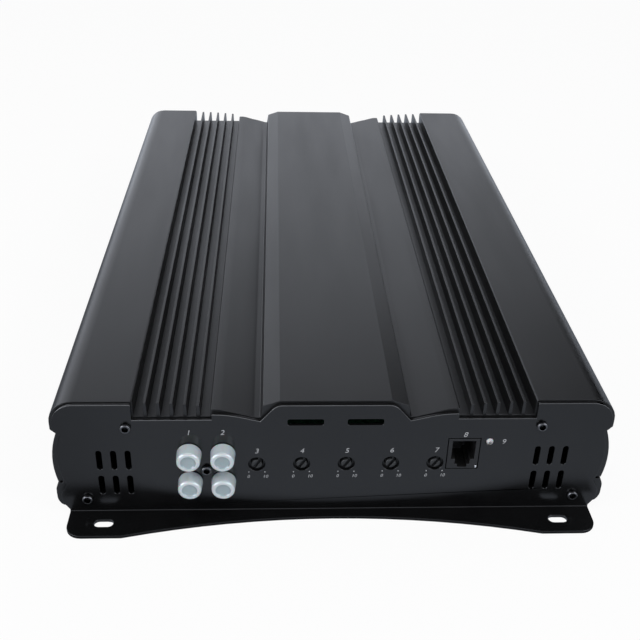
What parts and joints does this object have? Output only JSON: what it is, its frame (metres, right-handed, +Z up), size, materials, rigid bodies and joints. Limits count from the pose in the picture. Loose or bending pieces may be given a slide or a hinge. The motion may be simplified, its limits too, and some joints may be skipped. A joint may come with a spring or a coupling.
{
  "type": "car amplifier",
  "caption": "Flat finned car audio amplifier with a black extruded heatsink, slotted mounting feet, capped RCA jacks, trimmers and a remote socket at one end and wire terminals at the other.",
  "frame": {"origin": "middle of the surface that the feet stand on, under the middle of the case", "axes": "+Z up; +Y along the case from the control end to the power end, the longest extent; +X to the right when facing the control end"},
  "size_m": [0.2364, 0.4004, 0.058],
  "materials": {
    "anodised_aluminium": "black satin anodised, fine lengthwise extrusion lines",
    "coated_steel": "black satin powder coat on sheet steel",
    "black_screw": "black oxide, slightly glossy",
    "black_plastic": "fine moulded grain",
    "nickel": "bright nickel plate",
    "milky_plastic": "translucent soft polyethylene",
    "trimmer_shaft": "smooth dark nylon",
    "indicator_lens": "diffused clear lens",
    "terminal_brass": "turned and plated",
    "screw_steel": "bright zinc plate",
    "circuit_board": "green solder mask",
    "copper_winding": "enamelled copper wire",
    "capacitor_sleeve": "shrunk vinyl sleeve",
    "transistor_plastic": "moulded epoxy"
  },
  "bodies": {
    "amplifier": {"heatsink": "anodised_aluminium", "control_end_panel": "coated_steel", "power_end_panel": "coated_steel", "bottom_cover": "coated_steel", "control_panel_screw_upper_left": "black_screw", "control_panel_screw_lower_left": "black_screw", "control_panel_screw_upper_right": "black_screw", "control_panel_screw_lower_right": "black_screw", "power_panel_screw_upper_left": "black_screw", "power_panel_screw_lower_left": "black_screw", "power_panel_screw_upper_right": "black_screw", "power_panel_screw_lower_right": "black_screw", "rca_block_screw": "black_screw", "cover_screw_front_left": "black_screw", "cover_screw_front_right": "black_screw", "cover_screw_rear_left": "black_screw", "cover_screw_rear_right": "black_screw", "rca_jack_block": "black_plastic", "remote_jack": "black_plastic", "power_terminal_block": "black_plastic", "speaker_terminal_block": "black_plastic", "gain_pot": "black_plastic", "bass_boost_pot": "black_plastic", "low_pass_pot": "black_plastic", "subsonic_pot": "black_plastic", "phase_shift_pot": "black_plastic", "rca_output_upper_sleeve": "nickel", "rca_output_lower_sleeve": "nickel", "rca_input_upper_sleeve": "nickel", "rca_input_lower_sleeve": "nickel", "power_led": "indicator_lens", "battery_contact": "terminal_brass", "turn_on_contact": "terminal_brass", "ground_contact": "terminal_brass", "speaker_plus_contact": "terminal_brass", "speaker_minus_contact": "terminal_brass", "main_board": "circuit_board", "driver_board": "circuit_board", "front_transformer": "copper_winding", "rear_transformer": "copper_winding", "output_inductor": "copper_winding", "storage_capacitor_1": "capacitor_sleeve", "storage_capacitor_2": "capacitor_sleeve", "storage_capacitor_3": "capacitor_sleeve", "left_transistor_row": "transistor_plastic", "right_transistor_row": "transistor_plastic"},
    "gain_rotor": {"gain_shaft": "trimmer_shaft"},
    "bass_boost_rotor": {"bass_boost_shaft": "trimmer_shaft"},
    "low_pass_rotor": {"low_pass_shaft": "trimmer_shaft"},
    "subsonic_rotor": {"subsonic_shaft": "trimmer_shaft"},
    "phase_shift_rotor": {"phase_shift_shaft": "trimmer_shaft"},
    "rca_output_upper_cover": {"rca_output_upper_cap": "milky_plastic"},
    "rca_output_lower_cover": {"rca_output_lower_cap": "milky_plastic"},
    "rca_input_upper_cover": {"rca_input_upper_cap": "milky_plastic"},
    "rca_input_lower_cover": {"rca_input_lower_cap": "milky_plastic"},
    "battery_clamp": {"battery_set_screw": "screw_steel"},
    "turn_on_clamp": {"turn_on_set_screw": "screw_steel"},
    "ground_clamp": {"ground_set_screw": "screw_steel"},
    "speaker_plus_clamp": {"speaker_plus_set_screw": "screw_steel"},
    "speaker_minus_clamp": {"speaker_minus_set_screw": "screw_steel"}
  },
  "joints": [
    {"name": "gain_turn", "type": "hinge", "parent": "amplifier", "child": "gain_rotor", "pos_m": [-0.0327, -0.177, 0.0266], "axis": [0, 1, 0], "range_deg": [0, 280]},
    {"name": "bass_boost_turn", "type": "hinge", "parent": "amplifier", "child": "bass_boost_rotor", "pos_m": [-0.0138, -0.177, 0.0266], "axis": [0, 1, 0], "range_deg": [0, 280]},
    {"name": "low_pass_turn", "type": "hinge", "parent": "amplifier", "child": "low_pass_rotor", "pos_m": [0.0051, -0.177, 0.0266], "axis": [0, 1, 0], "range_deg": [0, 280]},
    {"name": "subsonic_turn", "type": "hinge", "parent": "amplifier", "child": "subsonic_rotor", "pos_m": [0.024, -0.177, 0.0266], "axis": [0, 1, 0], "range_deg": [0, 280]},
    {"name": "phase_shift_turn", "type": "hinge", "parent": "amplifier", "child": "phase_shift_rotor", "pos_m": [0.0429, -0.177, 0.0266], "axis": [0, 1, 0], "range_deg": [0, 280]},
    {"name": "rca_output_upper_cap_pull", "type": "slide", "parent": "amplifier", "child": "rca_output_upper_cover", "axis": [0, -1, 0], "range_m": [0, 0.012]},
    {"name": "rca_output_lower_cap_pull", "type": "slide", "parent": "amplifier", "child": "rca_output_lower_cover", "axis": [0, -1, 0], "range_m": [0, 0.012]},
    {"name": "rca_input_upper_cap_pull", "type": "slide", "parent": "amplifier", "child": "rca_input_upper_cover", "axis": [0, -1, 0], "range_m": [0, 0.012]},
    {"name": "rca_input_lower_cap_pull", "type": "slide", "parent": "amplifier", "child": "rca_input_lower_cover", "axis": [0, -1, 0], "range_m": [0, 0.012]},
    {"name": "battery_screw_down", "type": "slide", "parent": "amplifier", "child": "battery_clamp", "axis": [0, 0, -1], "range_m": [0, 0.006]},
    {"name": "turn_on_screw_down", "type": "slide", "parent": "amplifier", "child": "turn_on_clamp", "axis": [0, 0, -1], "range_m": [0, 0.0022]},
    {"name": "ground_screw_down", "type": "slide", "parent": "amplifier", "child": "ground_clamp", "axis": [0, 0, -1], "range_m": [0, 0.006]},
    {"name": "speaker_plus_screw_down", "type": "slide", "parent": "amplifier", "child": "speaker_plus_clamp", "axis": [0, 0, -1], "range_m": [0, 0.004]},
    {"name": "speaker_minus_screw_down", "type": "slide", "parent": "amplifier", "child": "speaker_minus_clamp", "axis": [0, 0, -1], "range_m": [0, 0.004]}
  ]
}
